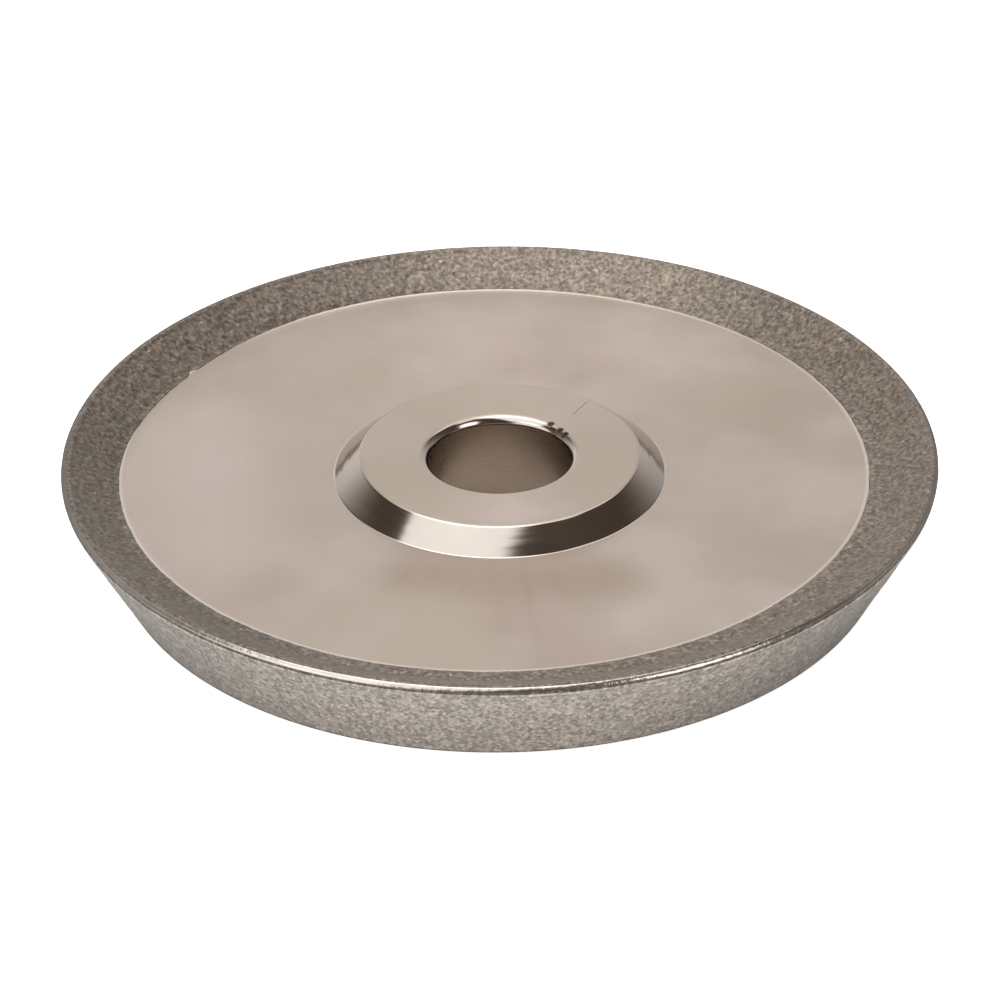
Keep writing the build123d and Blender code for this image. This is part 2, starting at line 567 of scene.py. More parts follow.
def make_mark_group():
    """A mark along a line seen from the front: one within its inner width, nothing past its outer width.

    The nearest point of the line is its start plus the share h of the way to its end, where h is the
    product of the point's and the line's steps from the start over the line's length squared, held to
    0 and 1.
    """
    sockets = {"Vector": "Vector", "Start": "Vector", "End": "Vector", "Inner": "Float", "Outer": "Float"}
    group, start, end = new_group("Line mark", sockets, {"Mask": "Float"})
    line_start, line_end = start.outputs["Start"], start.outputs["End"]
    flat = vector_maths(group, "MULTIPLY", start.outputs["Vector"], (1, 1, 0))
    step = vector_maths(group, "SUBTRACT", flat, line_start)
    line = vector_maths(group, "SUBTRACT", line_end, line_start)
    along, square = (vector_maths(group, "DOT_PRODUCT", run, line) for run in (step, line))
    near = vector_maths(group, "SCALE", line, maths(group, "DIVIDE", along, square, clamp=True))
    away = vector_maths(group, "DISTANCE", step, near)
    fill(group, end.inputs["Mask"], ramp(group, away, start.outputs["Outer"], start.outputs["Inner"]))


def make_speckle_group():
    """Speckles of the grit.

    Noise at the size of a grain mixes the dark and the light colour. A wide noise tints it, and each
    cell of a finer pattern has a tint and a shade of its own. A very few cells are picked for painted
    glints.
    """
    dark_end, light_end = 0.2, 0.8
    wide_share, cell_share = 0.12, 1.4
    cool, warm = (0.96, 0.98, 0.98), (1.03, 1.01, 1.0)
    reddish, bluish = (1.05, 0.99, 0.965), (0.96, 1.01, 1.03)
    darkest, palest = 0.62, 1.38
    bright_start, bright_end = 0.9988, 0.9992
    sockets = {"Vector": "Vector", "Grain": "Float", "Dark": "Color", "Light": "Color"}
    results = {"Color": "Color", "Height": "Float", "Bright": "Float"}
    group, start, end = new_group("Grit speckles", sockets, results)
    vector = start.outputs["Vector"]
    per_metre = maths(group, "DIVIDE", 1.0, start.outputs["Grain"])
    speck = noise(group, vector, per_metre, Detail=1.5, Roughness=0.5)
    level = ramp(group, speck, dark_end, light_end, easing="LINEAR")
    base = blend_colour(group, level, start.outputs["Dark"], start.outputs["Light"])
    wide = noise(group, vector, times(group, per_metre, wide_share), Detail=2.0)
    wide = ramp(group, wide, low=0.35, high=0.65)
    tinted = blend_colour(group, 1.0, base, blend_colour(group, wide, cool, warm), blend="MULTIPLY")
    cells = put(group, "TexVoronoi", {"Vector": vector, "Scale": times(group, per_metre, cell_share)})
    pick = put(group, "SeparateColor", {"Color": cells.outputs["Color"]})
    cell_tint = blend_colour(group, pick.outputs["Green"], reddish, bluish)
    cell_shade = ramp(group, pick.outputs["Blue"], 0.0, 1.0, darkest, palest, easing="LINEAR")
    own = vector_maths(group, "SCALE", cell_tint, cell_shade)
    fill(group, end.inputs["Color"], vector_maths(group, "MULTIPLY", tinted, own))
    fill(group, end.inputs["Height"], maths(group, "SUBTRACT", 1.0, cells.outputs["Distance"]))
    fill(group, end.inputs["Bright"], ramp(group, pick.outputs["Red"], bright_start, bright_end))


def painted_edge_on_shade(tree, colour, first, least):
    """Paint shade into a colour where the surface is seen edge-on, for the shade that standing grains cast
    on each other.

    The shade falls evenly from 1 at the first facing to the least where the surface is edge-on.
    """
    edge_on = put(tree, "LayerWeight", {"Blend": 0.5}).outputs["Facing"]
    shade = ramp(tree, edge_on, first, 1.0, 1.0, least, easing="LINEAR")
    return vector_maths(tree, "SCALE", colour, shade)


def new_material(name):
    """A metal material: its tree, its shader, and the Object coordinates to read."""
    material = bpy.data.materials.new(name)
    material.use_nodes = True
    tree = material.node_tree
    shader = tree.nodes["Principled BSDF"]
    shader.inputs["Metallic"].default_value = 1.0
    place_on = put(tree, "TexCoord").outputs["Object"]
    return material, tree, shader, place_on


def line_mark(tree, place_on, start, end, inner, outer):
    """The mask of one mark along a line between two places on the wheel seen from the front."""
    inputs = {"Vector": place_on, "Start": (*start, 0), "End": (*end, 0), "Inner": inner, "Outer": outer}
    return use_group(tree, "Line mark", inputs).outputs["Mask"]


def spot_mark(tree, place_on, middle, radius):
    """The mask of a small round mark: a line mark of hardly any length."""
    length, full_share = 0.02 * MM, 0.55
    tip = (middle[0] + length, middle[1])
    return line_mark(tree, place_on, middle, tip, full_share * radius, radius)


def cloud_mask(tree, vector, scale, contrast):
    """The mask of one layer of the plating's clouds."""
    inputs = {"Vector": vector, "Scale": scale, "Contrast": contrast}
    return use_group(tree, "Plating clouds", inputs).outputs["Mask"]


def lip_mask(tree, place_on, grit, edge_circle):
    """The raised lip beside the grit: a ring at an even distance inside the inner edge's circle."""
    inset, faded, full = 0.16 * MM, 0.22 * MM, 0.05 * MM
    to_middle = (-grit.edge_offset_x, -grit.edge_offset_y, 0)
    middle = put(tree, "Mapping", {"Vector": place_on, "Location": to_middle, "Scale": (1, 1, 0)})
    reach = vector_maths(tree, "LENGTH", middle.outputs[0])
    off_lip = maths(tree, "ABSOLUTE", maths(tree, "SUBTRACT", reach, edge_circle - inset))
    return ramp(tree, off_lip, faded, full)


def turned_finish(tree, shader, place_on, roughness, marks):
    """Fine turning marks: a small change of roughness round the given one, and their height as a bump."""
    pitch, sweep, mark_height = 0.09 * MM, 3.0, 0.004 * MM
    inputs = {"Vector": place_on, "Pitch": pitch, "Sweep": sweep}
    lines = use_group(tree, "Turning marks", inputs).outputs["Height"]
    rough = ramp(tree, lines, low=0.2, high=0.8, start=0.85 * roughness, end=1.15 * roughness)
    bump = put(tree, "Bump", {"Height": lines, "Strength": marks, "Distance": mark_height}).outputs[0]
    fill(tree, shader.inputs["Roughness"], rough)
    fill(tree, shader.inputs["Normal"], bump)
    return rough, bump


def satin_material(name, steel, grit, edge_circle):
    """Satin nickel: clouds of close tints, streaked stains with some painted shade, a lip beside the grit
    with a painted highlight, and wear marks, the scratch with a painted highlight beside it.
    """
    material, tree, shader, place_on = new_material(name)
    clouds_apart = (0.31, 0.17, 0.0)
    between_streaks = 0.9
    apart = put(tree, "Mapping", {"Vector": place_on, "Location": clouds_apart}).outputs[0]
    pink = cloud_mask(tree, place_on, scale=52.0, contrast=5.0)
    beige = cloud_mask(tree, apart, scale=62.0, contrast=5.0)
    colour = blend_colour(tree, pink, steel.plating, steel.plating_pink)
    colour = tint(tree, colour, steel.plating_beige, beige, share=0.8)

    streaks = use_group(tree, "Radial streaks", {"Vector": place_on, "Count": 14.0, "Share": 0.22})
    streaked = maths(tree, "ADD", streaks.outputs["Mask"], between_streaks)
    # The first brown stain, in front of the hub, is partly painted shade
    for stains, towards in ((PALE_STAINS, steel.plating_pale), (BROWN_STAINS_AND_HUB_SHADE, steel.brown_stain_and_shade)):
        for start, end, outer, strength in stains:
            stain_and_shade = times(tree, line_mark(tree, place_on, start, end, 0.0, outer), strength)
            colour = tint(tree, colour, towards, stain_and_shade, streaked)

    lip = lip_mask(tree, place_on, grit, edge_circle)
    scratch = line_mark(tree, place_on, *SCRATCH, LINE_CORE, SCRATCH_REACH)
    beside = [(x + SCRATCH_HIGHLIGHT_SHIFT[0], y + SCRATCH_HIGHLIGHT_SHIFT[1]) for x, y in SCRATCH]
    highlight = line_mark(tree, place_on, *beside, LINE_CORE, SCRATCH_HIGHLIGHT_REACH)
    # Painted highlight on the raised lip beside the grit
    colour = tint(tree, colour, steel.lip_highlight, lip, share=0.75)
    colour = tint(tree, colour, steel.nick, scratch, share=0.38)
    # Painted highlight along one side of the scratch
    colour = tint(tree, colour, steel.scratch_highlight, highlight, share=0.3)
    for nick in NICKS:
        colour = tint(tree, colour, steel.nick, spot_mark(tree, place_on, nick, NICK_RADIUS), NICK_SHARE)
    fill(tree, shader.inputs["Base Color"], colour)

    turned = turned_finish(tree, shader, place_on, steel.satin, marks=0.25)[1]
    raised = maths(tree, "SUBTRACT", lip, scratch)
    inputs = {"Height": raised, "Strength": 0.5, "Distance": 0.02 * MM, "Normal": turned}
    fill(tree, shader.inputs["Normal"], put(tree, "Bump", inputs).outputs[0])
    shader.inputs["Anisotropic"].default_value = 0.4
    shader.inputs["Anisotropic Rotation"].default_value = 0.25
    tangent = put(tree, "Tangent", direction_type="UV_MAP", uv_map="Turning")
    fill(tree, shader.inputs["Tangent"], tangent.outputs[0])
    return material


def polished_material(name, steel, colour, roughness, marks):
    """Turned steel with a smoother finish: faint clouds, turning marks, and the dark rough nicks."""
    material, tree, shader, place_on = new_material(name)
    clouded, nick_roughness = 0.9, 0.5
    clouds = cloud_mask(tree, place_on, scale=160.0, contrast=1.6)
    shade = blend_colour(tree, clouds, colour, clouded * np.array(colour))
    rough = turned_finish(tree, shader, place_on, roughness, marks)[0]
    for nick in NICKS:
        dark = spot_mark(tree, place_on, nick, NICK_RADIUS)
        shade = tint(tree, shade, steel.nick, dark, NICK_SHARE)
        rough = maths(tree, "ADD", rough, times(tree, dark, nick_roughness), clamp=True)
    fill(tree, shader.inputs["Base Color"], shade)
    fill(tree, shader.inputs["Roughness"], rough)
    return material


def grit_material(name, grit, dark, light, metal, roughness, edge_on, painted_light_and_shade=()):
    """Plated grit: grains as speckles and as bump, painted glints on a few, wide patches of painted light
    and shade, and one dark spot.

    A painted patch multiplies the colour by 1 plus its mask times its change of shade. Painted shade darkens
    it where it is seen edge-on.
    """
    material, tree, shader, place_on = new_material(name)
    darker_from = 0.5
    inputs = {"Vector": place_on, "Grain": grit.grain_size, "Dark": dark, "Light": light}
    specks = use_group(tree, "Grit speckles", inputs)
    # Painted glints: a very few grains made paler
    colour = tint(tree, specks.outputs["Color"], grit.painted_glint, specks.outputs["Bright"], share=0.45)
    # Painted light and shade: wide patches of the border made paler or darker
    for start, end, outer, change in painted_light_and_shade:
        painted_patch = times(tree, line_mark(tree, place_on, start, end, 0.0, outer), change)
        colour = vector_maths(tree, "SCALE", colour, maths(tree, "ADD", painted_patch, 1.0))
    spot = spot_mark(tree, place_on, DARK_SPOT, DARK_SPOT_RADIUS)
    colour = tint(tree, colour, grit.spot, spot, share=0.7)
    # Painted shade where the grit is seen edge-on
    fill(tree, shader.inputs["Base Color"], painted_edge_on_shade(tree, colour, darker_from, edge_on))
    shader.inputs["Metallic"].default_value = metal
    shader.inputs["Roughness"].default_value = roughness
    bump = put(tree, "Bump", {"Height": specks.outputs["Height"], "Strength": 0.3, "Distance": 0.05 * MM})
    fill(tree, shader.inputs["Normal"], bump.outputs[0])
    return material


def bead_material(name, grit):
    """The thick plating on the rim: clouded nickel, with painted shade where it turns away, and low bumps.

    It is smoothest on the worn front of the rim, and grows rougher towards the sides.
    """
    material, tree, shader, place_on = new_material(name)
    clouded, darker_from, edge_on = 0.8, 0.05, 0.0
    worn_end, rough_start, rougher = -33 * MM, -18 * MM, 2.2
    clouds = cloud_mask(tree, place_on, scale=400.0, contrast=2.0)
    colour = blend_colour(tree, clouds, grit.bead, clouded * np.array(grit.bead))
    # Painted shade where the rim turns away from the view
    fill(tree, shader.inputs["Base Color"], painted_edge_on_shade(tree, colour, darker_from, edge_on))
    towards_back = put(tree, "SeparateXYZ", {"Vector": place_on}).outputs["Y"]
    worn, rough = grit.bead_roughness, rougher * grit.bead_roughness
    fill(tree, shader.inputs["Roughness"], ramp(tree, towards_back, worn_end, rough_start, worn, rough))
    swell = noise(tree, place_on, 1900.0, Detail=2.0)
    bump = put(tree, "Bump", {"Height": swell, "Strength": 0.5, "Distance": 0.08 * MM})
    fill(tree, shader.inputs["Normal"], bump.outputs[0])
    return material


class WHEEL_OT_steel_body(bpy.types.Operator):
    """Model the turned steel body as one closed ring of revolution"""

    bl_idname = "wheel.steel_body"
    bl_label = "Steel Body"

    def profile(self, shape, steel):
        """The body's closed outline as runs of radius and height, each with its material's index.

        It runs out along the back face, up the side, over the rim, in along the border and the flat,
        up the hub's root fillet and bevel, over the hub's top, round the bore's mouth and down the bore.
        The last number of a run is its count of steps. A very short run beside a rounding keeps the
        shading of the flat next to it flat.
        """
        support, satin_turn = 0.03 * MM, math.radians(22)
        line = rim_line(shape, shape.layer_thickness)
        face = shape.face_height
        flat_end = shape.rim_radius - shape.border_width
        slope = math.atan2(HUB_TOP - face, steel.hub_base_radius - steel.hub_top_radius)
        reach = math.tan(slope / 2)
        outwards = np.array([math.sin(slope), math.cos(slope)])
        root_centre = (steel.hub_base_radius + steel.hub_root * reach, face + steel.hub_root)
        edge_centre = (steel.hub_top_radius - steel.hub_edge * reach, HUB_TOP - steel.hub_edge)
        bevel_foot = np.array(root_centre) - steel.hub_root * outwards
        bevel_head = np.array(edge_centre) + steel.hub_edge * outwards
        mouth_centre = (BORE_RADIUS + steel.mouth_rounding, HUB_TOP - steel.mouth_rounding)
        mouth_low = mouth_centre[1] - support
        root_start = (root_centre[0] + support, face)
        edge_end = (edge_centre[0] - support, HUB_TOP)
        mouth_start = (mouth_centre[0] + support, HUB_TOP)
        back_corner = (line.side_foot[0] - shape.back_chamfer, 0)
        satin, bevel, mouth, wall = range(4)
        quarter = QUARTER_TURN
        return [
            (straight((BORE_RADIUS + steel.bore_chamfer, 0), back_corner, 6), satin),
            (straight(back_corner, line.side_foot, 2), satin),
            (straight(line.side_foot, line.side_end, 3), satin),
            (arc(line.centre, line.radius, line.side_angle - quarter, line.dish_angle + quarter, 7), satin),
            (straight(line.dish_start, (flat_end, face), 7), satin),
            (straight((flat_end, face), root_start, 14), satin),
            (straight(root_start, (root_centre[0], face), 1), satin),
            (arc(root_centre, steel.hub_root, -quarter, -quarter - slope, 8), bevel),
            (crowned(bevel_foot, bevel_head, steel.bevel_crown, BEVEL_STEPS), bevel),
            (arc(edge_centre, steel.hub_edge, quarter - slope, quarter - slope / 2, 4), bevel),
            (arc(edge_centre, steel.hub_edge, quarter - slope / 2, quarter, 4), satin),
            (straight((edge_centre[0], HUB_TOP), edge_end, 1), satin),
            (straight(edge_end, mouth_start, 10), satin),
            (straight(mouth_start, (mouth_centre[0], HUB_TOP), 1), satin),
            (arc(mouth_centre, steel.mouth_rounding, quarter, quarter + satin_turn, 5), satin),
            (arc(mouth_centre, steel.mouth_rounding, quarter + satin_turn, 2 * quarter, 15), mouth),
            (straight((BORE_RADIUS, mouth_centre[1]), (BORE_RADIUS, mouth_low), 1), wall),
            (straight((BORE_RADIUS, mouth_low), (BORE_RADIUS, steel.bore_chamfer), 10), wall),
            (straight((BORE_RADIUS, steel.bore_chamfer), (BORE_RADIUS + steel.bore_chamfer, 0), 2), wall),
        ]

    def ripples(self, steel):
        """Heights of the bevel's tool marks: noise round the axis in a few rings, eased from ring to ring.

        A ripple's height is the two nearest rings' noise, mixed by cosine easing, plus a little noise of
        its own, times the sine of the way over the bevel, so that it ends at nothing on both sides.
        """
        seed, rings, knots = 7, 9, 36
        round_share, own_share = 0.35, 0.2
        rng = np.random.default_rng(seed)
        noises = [
            rng.uniform(-1, 1) + round_share * smooth_noise(rng, steel.segments, knots) for _ in range(rings)
        ]
        noises = np.stack(noises, axis=1)
        place_in_rings = np.linspace(0, rings - 1, BEVEL_STEPS)
        index = np.minimum(place_in_rings.astype(int), rings - 2)
        ease = 0.5 - 0.5 * np.cos(np.pi * (place_in_rings - index))
        wave = noises[:, index] * (1 - ease) + noises[:, index + 1] * ease
        wave = wave + own_share * rng.uniform(-1, 1, BEVEL_STEPS)
        return steel.tool_mark * wave * np.sin(np.pi * np.linspace(0, 1, BEVEL_STEPS))

    def dent(self, steel, radius, height):
        """Press the nicks in: bell curves round their places, that push outwards and down."""
        width, outwards, down = 0.14 * MM, 0.5, 0.9
        angle = 2 * np.pi * np.arange(len(radius))[:, None] / len(radius)
        x, y = radius * np.cos(angle), radius * np.sin(angle)
        upper = height > HUB_TOP - 2 * steel.mouth_rounding
        for nick_x, nick_y in NICKS:
            press = steel.nick_depth * bell(np.hypot(x - nick_x, y - nick_y), width) * upper
            radius += outwards * press
            height -= down * press

    def execute(self, context):
        """Carry the outline round the axis, with ripples on the bevel and dents at the nicks."""
        scene = context.scene
        shape, steel, grit = scene.wheel_shape, scene.wheel_steel, scene.wheel_grit
        runs = self.profile(shape, steel)
        outline = np.concatenate([points for points, _ in runs])
        zones = np.concatenate([np.full(len(points), zone) for points, zone in runs])
        start = sum(len(points) for points, _ in runs[:BEVEL_RUN])
        radius = np.tile(outline[:, 0], (steel.segments, 1))
        height = np.tile(outline[:, 1], (steel.segments, 1))
        height[:, start:start + BEVEL_STEPS] += self.ripples(steel)
        self.dent(steel, radius, height)
        mesh = revolve_mesh("steel_body", radius, height, zones)
        materials = [
            satin_material("Satin nickel", steel, grit, shape.rim_radius - grit.edge_width),
            polished_material("Polished bevel", steel, steel.polished, steel.polish, marks=0.3),
            polished_material("Polished bore mouth", steel, steel.polished, steel.polish, marks=0.1),
            polished_material("Bore wall", steel, steel.bore_wall, steel.bored, marks=0.8),
        ]
        place("steel_body", mesh, STEEL_NODE, materials)
        return {"FINISHED"}


class WHEEL_OT_grit_layer(bpy.types.Operator):
    """Model the grit layer as one closed shell with its grains as real shape"""

    bl_idname = "wheel.grit_layer"
    bl_label = "Grit Layer"

    def edge_radius(self, shape, grit, rng):
        """Radius of the inner edge at each step: a circle off the axis, with a wandering plated line.

        A ray from the axis at an angle meets a circle of radius c centred at a point p where the distance
        is p along the ray plus the root of c squared less p across the ray squared. Two sizes of noise
        make the line wander. Bell curves round the axis add the small notch, which goes outwards, and
        take off a wide flatter stretch, which lies further in.
        """
        wander_knots = (90, 420)
        notch_depth, notch_width = 0.4 * MM, 0.35 * MM
        flat_depth, flat_middle, flat_width = 0.45 * MM, math.radians(147), math.radians(14)
        angle = 2 * np.pi * np.arange(grit.segments) / grit.segments
        along = grit.edge_offset_x * np.cos(angle) + grit.edge_offset_y * np.sin(angle)
        across = grit.edge_offset_x * np.sin(angle) - grit.edge_offset_y * np.cos(angle)
        circle = shape.rim_radius - grit.edge_width
        wander = sum(smooth_noise(rng, grit.segments, knots) for knots in wander_knots) / len(wander_knots)
        from_notch = around_from(angle, math.atan2(EDGE_NOTCH[1], EDGE_NOTCH[0]))
        notch = notch_depth * bell(circle * from_notch, notch_width)
        notch -= flat_depth * bell(around_from(angle, flat_middle), flat_width)
        return along + np.sqrt(circle**2 - across**2) + grit.edge_wander * wander + notch

    def rise(self, grit, thickness, inwards):
        """The layer's height over the steel at a distance from its inner edge.

        It starts at a small step and eases to the full thickness by s (2 - s), where s is the distance
        over the width of the ease, held to 0 and 1.
        """
        risen = np.clip(inwards / grit.edge_ease, 0, 1)
        return grit.edge_rise + (thickness - grit.edge_rise) * risen * (2 - risen)

    def grains(self, rng, count, amount):
        """How deep each point sinks between the grains, from 0 to its column's amount.

        Random values from -1 to 1 are summed with their neighbours round the axis and along the profile,
        divided by the spread, moved by a half and held to 0 and 1.
        """
        spread = 6
        values = rng.uniform(-1, 1, (count, len(amount)))
        for axis in (0, 1):
            values = np.roll(values, 1, axis) + values + np.roll(values, -1, axis)
        return np.clip(0.5 + values / spread, 0, 1) * amount

    def execute(self, context):
        """Carry the layer's outline round the axis, from its wavering inner edge over the rim and back.

        The top follows the steel plus the rise, the rim is an arc and the side is straight, and all three
        sink between the grains along their normals. The underside follows the steel.
        """
        seed, least_width = 21, 0.05 * MM
        # Columns over the border, as shares of its width: a few close to the edge, then even ones
        first_steps, even_start, even_steps = [0, 0.02, 0.05], 0.09, 25
        # Steps over the rim, the side and the steel's rim, and how many of the rim's have each material
        rim_steps, side_steps, bed_steps = 14, 40, 4
        rim_as_border, rim_as_bead, rim_as_shadow = 5, 4, 2
        # The grains grow over the border's first steps, are low on the rim, and full on the side
        growing_steps, rim_grains, side_grains = 4, 0.15, 1.0

        shape, grit = context.scene.wheel_shape, context.scene.wheel_grit
        rng = np.random.default_rng(seed)
        count, thickness, quarter = grit.segments, shape.layer_thickness, QUARTER_TURN
        edge = self.edge_radius(shape, grit, rng)[:, None]
        skin, bed = rim_line(shape, 0), rim_line(shape, thickness)
        foot_of_border = shape.rim_radius - shape.border_width

        even = even_start + (1 - even_start) * np.arange(even_steps) / even_steps
        border_r = edge + np.concatenate([first_steps, even]) * (skin.dish_start[0] - edge)
        border_z = border_height(shape, border_r, thickness) + self.rise(grit, thickness, border_r - edge)
        rim = arc(skin.centre, skin.radius, skin.dish_angle + quarter, skin.side_angle - quarter, rim_steps)
        side = straight(skin.side_end, skin.side_foot, side_steps)
        bed_rim = arc(bed.centre, bed.radius, bed.side_angle - quarter, bed.dish_angle + quarter, bed_steps)
        fixed = np.concatenate([rim, side, [skin.side_foot, bed.side_foot], bed_rim, [bed.dish_start]])
        inner_r = np.concatenate([np.maximum(foot_of_border, edge + least_width), edge], axis=1)
        inner_z = border_height(shape, inner_r, thickness)
        radius = np.concatenate([border_r, np.tile(fixed[:, 0], (count, 1)), inner_r], axis=1)
        height = np.concatenate([border_z, np.tile(fixed[:, 1], (count, 1)), inner_z], axis=1)

        border_steps = border_r.shape[1]
        normal_angle = np.concatenate([
            np.where(border_r[0] < foot_of_border, quarter, skin.dish_angle + quarter),
            np.arctan2(rim[:, 1] - skin.centre[1], rim[:, 0] - skin.centre[0]),
            np.full(side_steps, skin.side_angle - quarter),
        ])
        grown_in = np.clip(np.arange(border_steps) / growing_steps, 0, 1)
        amount = np.concatenate([grown_in, np.full(rim_steps, rim_grains), np.full(side_steps, side_grains)])
        sink = -grit.grain_height * self.grains(rng, count, amount)
        radius[:, :len(amount)] += sink * np.cos(normal_angle)
        height[:, :len(amount)] += sink * np.sin(normal_angle)

        lengths = [border_steps + rim_as_border, rim_as_bead, rim_as_shadow]
        zones = np.repeat(range(4), [*lengths, radius.shape[1] - sum(lengths)])
        border = (grit.dark, grit.light, grit.border_metal, grit.roughness)
        # Painted shadow under the rim bead, on two rim steps of the grit
        shadow = (grit.painted_shadow_dark, grit.painted_shadow_light, grit.border_metal, grit.painted_shadow_roughness)
        # Painted light: the side's grit colours are lighter than the border's, for the light the side gets
        outside = (grit.painted_lit_side_dark, grit.painted_lit_side_light, grit.side_metal, grit.roughness)
        materials = [
            grit_material("Border grit", grit, *border, edge_on=0.85, painted_light_and_shade=GRIT_PAINTED_LIGHT_AND_SHADE),
            bead_material("Rim bead", grit),
            grit_material("Rim groove", grit, *shadow, edge_on=0.3),
            grit_material("Side grit", grit, *outside, edge_on=0.35),
        ]
        mesh = revolve_mesh("grit_layer", radius, height, zones)
        place("grit_layer", mesh, GRIT_NODE, materials)
        return {"FINISHED"}


class WHEEL_OT_studio(bpy.types.Operator):
    """Set up the floor, the lamps, the world and the camera"""

    bl_idname = "wheel.studio"
    bl_label = "Studio"

    def make_floor(self, studio):
        """A wide flat floor under the back face.

        White is added where it is looked at directly, and a share of that where it is seen in the metal.
        """
        reach, in_metal = 6.0, 0.35
        mesh = bpy.data.meshes.new("floor")
        corners = [(-reach, -reach, 0), (reach, -reach, 0), (reach, reach, 0), (-reach, reach, 0)]
        mesh.from_pydata(corners, [], [(0, 1, 2, 3)])
        floor = bpy.data.objects.new("floor", mesh)
        bpy.context.scene.collection.objects.link(floor)
        material = bpy.data.materials.new("Floor")
        material.use_nodes = True
        tree = material.node_tree
        shader = tree.nodes["Principled BSDF"]
        rays = put(tree, "LightPath").outputs
        seen = maths(tree, "MAXIMUM", rays["Is Camera Ray"], rays["Is Transmission Ray"])
        seen = maths(tree, "MAXIMUM", seen, times(tree, rays["Is Glossy Ray"], in_metal))
        fill(tree, shader.inputs["Base Color"], studio.floor_colour)
        shader.inputs["Roughness"].default_value = 1.0
        shader.inputs["Specular IOR Level"].default_value = 0.0
        shader.inputs["Emission Color"].default_value = (1, 1, 1, 1)
        fill(tree, shader.inputs["Emission Strength"], times(tree, seen, studio.floor_glow))
        mesh.materials.append(material)

    def make_lamp(self, name, middle, size, strength, turn=0.0, soft=(0.05, 0.05, 0.05, 0.05)):
        """An area lamp that faces the wheel, is seen as bright as given, and fades at its sides.

        Its power is the strength times pi times its area. soft gives the shares that fade at the low
        and the high end of the width, and then of the height.
        """
        lamp = bpy.data.lights.new(name, "AREA")
        lamp.shape = "RECTANGLE"
        lamp.size, lamp.size_y = size
        lamp.energy = strength * math.pi * size[0] * size[1]
        lamp.use_nodes = True
        tree = lamp.node_tree
        parts = put(tree, "SeparateXYZ", {"Vector": put(tree, "NewGeometry").outputs["Parametric"]})
        fade = 1.0
        for axis, low, high in (("X", *soft[:2]), ("Y", *soft[2:])):
            fade = times(tree, fade, ramp(tree, parts.outputs[axis], 0.0, low))
            fade = times(tree, fade, ramp(tree, parts.outputs[axis], 1.0, 1.0 - high))
        fill(tree, tree.nodes["Emission"].inputs["Strength"], fade)
        holder = bpy.data.objects.new(name, lamp)
        facing = Vector(middle).to_track_quat("Z", "Y").to_matrix().to_4x4()
        holder.matrix_world = Matrix.Translation(middle) @ facing @ Matrix.Rotation(turn, 4, "Z")
        holder.visible_camera = False
        bpy.context.scene.collection.objects.link(holder)
        return lamp

    def make_world(self, studio):
        """White paper behind the wheel and low beside it, and a dark room with a few bright parts.

        The paper ends upwards where the height plus a share of the way sideways passes its fading edge,
        which is wider at the sides, and forwards where it fades out beside the wheel. It is brighter on
        the left, darker by the square of the way sideways, and brighter higher up. The bright parts are
        lobes round directions, and the brightest one at a place counts.
        """
        side_fall = 0.42
        low, low_spread = 0.60, 0.25
        high, high_spread = 0.68, 0.35
        left_shade, right_shade = 1.21, 0.79
        side_loss, upper_shade = 0.7, 1.2
        world = bpy.data.worlds.new("Studio")
        bpy.context.scene.world = world
        world.use_nodes = True
        tree = world.node_tree
        direction = put(tree, "TexCoord").outputs["Generated"]
        parts = put(tree, "SeparateXYZ", {"Vector": direction})
        right, back, up = (parts.outputs[axis] for axis in "XYZ")

        def lobe(towards, outer, inner):
            """One inside the inner angle from a direction, nothing outside the outer angle."""
            dot = vector_maths(tree, "DOT_PRODUCT", direction, Vector(towards).normalized())
            return ramp(tree, dot, math.cos(math.radians(outer)), math.cos(math.radians(inner)))

        def highest(*values):
            """The highest of several values."""
            best = values[0]
            for value in values[1:]:
                best = maths(tree, "MAXIMUM", best, value)
            return best

        sideways = maths(tree, "ABSOLUTE", right)
        top_edge = maths(tree, "ADD", up, times(tree, sideways, side_fall))
        fade_start = maths(tree, "SUBTRACT", low, times(tree, sideways, low_spread))
        fade_end = maths(tree, "ADD", high, times(tree, sideways, high_spread))
        behind = ramp(tree, back, low=-0.25, high=0.35)
        paper = times(tree, ramp(tree, top_edge, fade_end, fade_start), behind)
        shade = ramp(tree, right, low=-0.6, high=0.6, start=left_shade, end=right_shade, easing="LINEAR")
        falling = maths(tree, "SUBTRACT", 1.0, times(tree, times(tree, right, right), side_loss))
        rising = ramp(tree, up, low=0.2, high=0.5, start=1.0, end=upper_shade)
        strength = times(tree, times(tree, shade, falling), rising)
        glints = maths(tree, "ADD", *(lobe(*glint) for glint in GLINTS))
        zenith = times(tree, lobe(*ZENITH), ZENITH_GAIN)
        extra = highest(glints, lobe(*FRONT_LEFT), zenith, highest(*(lobe(*part) for part in RIGHT_STRIP)))
        strength = maths(tree, "MAXIMUM", strength, times(tree, extra, EXTRA_GAIN))
        paper_colour = vector_maths(tree, "SCALE", tuple(studio.paper), strength)
        colour = blend_colour(tree, maths(tree, "MAXIMUM", paper, extra), studio.room, paper_colour)
        fill(tree, tree.nodes["Background"].inputs["Color"], colour)

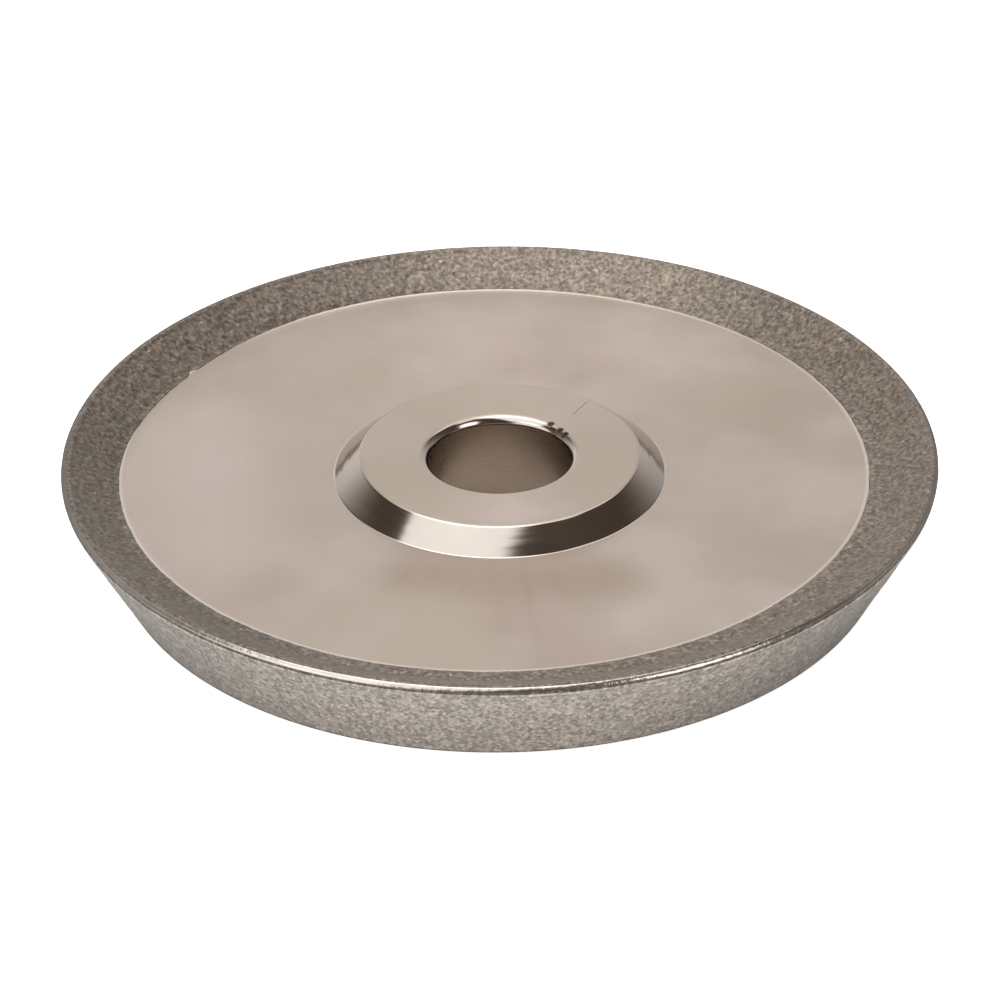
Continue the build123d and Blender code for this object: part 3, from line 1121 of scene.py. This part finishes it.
    def make_camera(self, shape, studio):
        """The camera looks at the middle of the rim from the front, then is tilted and rolled a little."""
        target = Vector((0, 0, shape.rim_height))
        back = Vector((0, -math.cos(studio.elevation), math.sin(studio.elevation)))
        turn = (-back).to_track_quat("-Z", "Y").to_matrix().to_4x4()
        turn = turn @ Matrix.Rotation(-studio.tilt, 4, "X") @ Matrix.Rotation(-studio.roll, 4, "Z")
        camera = bpy.data.objects.new("camera", bpy.data.cameras.new("camera"))
        camera.data.lens = studio.lens
        camera.data.sensor_width = 36.0
        camera.data.clip_start, camera.data.clip_end = 0.01, 50.0
        camera.matrix_world = Matrix.Translation(target + back * studio.distance) @ turn
        bpy.context.scene.collection.objects.link(camera)
        bpy.context.scene.camera = camera

    def execute(self, context):
        """Place the floor, the world, the soft box with its cooler colour, the side lamp and the camera."""
        scene = context.scene
        studio = scene.wheel_studio
        scene.view_settings.view_transform = "Standard"
        self.make_floor(studio)
        self.make_world(studio)
        key = self.make_lamp(
            "soft_box",
            middle=(-0.21, -0.165, 0.63),
            size=(0.70, 1.10),
            strength=studio.key_strength,
            turn=math.radians(18),
            soft=(0.04, 0.15, 0.05, 0.18),
        )
        key.color = studio.key_colour
        self.make_lamp(
            "side_lamp", middle=(0.48, -0.42, 0.30), size=(0.34, 0.30), strength=studio.side_strength
        )
        self.make_camera(scene.wheel_shape, studio)
        return {"FINISHED"}


OPERATORS = (WHEEL_OT_steel_body, WHEEL_OT_grit_layer, WHEEL_OT_studio)


class WHEEL_PT_panel(bpy.types.Panel):
    """Lists the wheel's pieces and its studio"""

    bl_idname = "WHEEL_PT_panel"
    bl_label = "Grinding Wheel"
    bl_space_type = "VIEW_3D"
    bl_region_type = "UI"
    bl_category = "Wheel"

    def draw(self, context):
        """One button for each operator."""
        for operator in OPERATORS:
            self.layout.operator(operator.bl_idname)


SETTINGS = {
    "wheel_shape": WheelShape,
    "wheel_steel": SteelSettings,
    "wheel_grit": GritSettings,
    "wheel_studio": StudioSettings,
}
CLASSES = (*SETTINGS.values(), *OPERATORS, WHEEL_PT_panel)


def register():
    """Register the classes and hang the settings on the scene."""
    for cls in CLASSES:
        bpy.utils.register_class(cls)
    for name, settings in SETTINGS.items():
        setattr(bpy.types.Scene, name, PointerProperty(type=settings))


def unregister():
    """Take the settings off the scene and unregister the classes."""
    for name in SETTINGS:
        delattr(bpy.types.Scene, name)
    for cls in reversed(CLASSES):
        bpy.utils.unregister_class(cls)


def main():
    register()
    make_cloud_group()
    make_turning_group()
    make_streak_group()
    make_mark_group()
    make_speckle_group()
    bpy.ops.wheel.steel_body()
    bpy.ops.wheel.grit_layer()
    bpy.ops.wheel.studio()


if __name__ == "__main__":
    main()
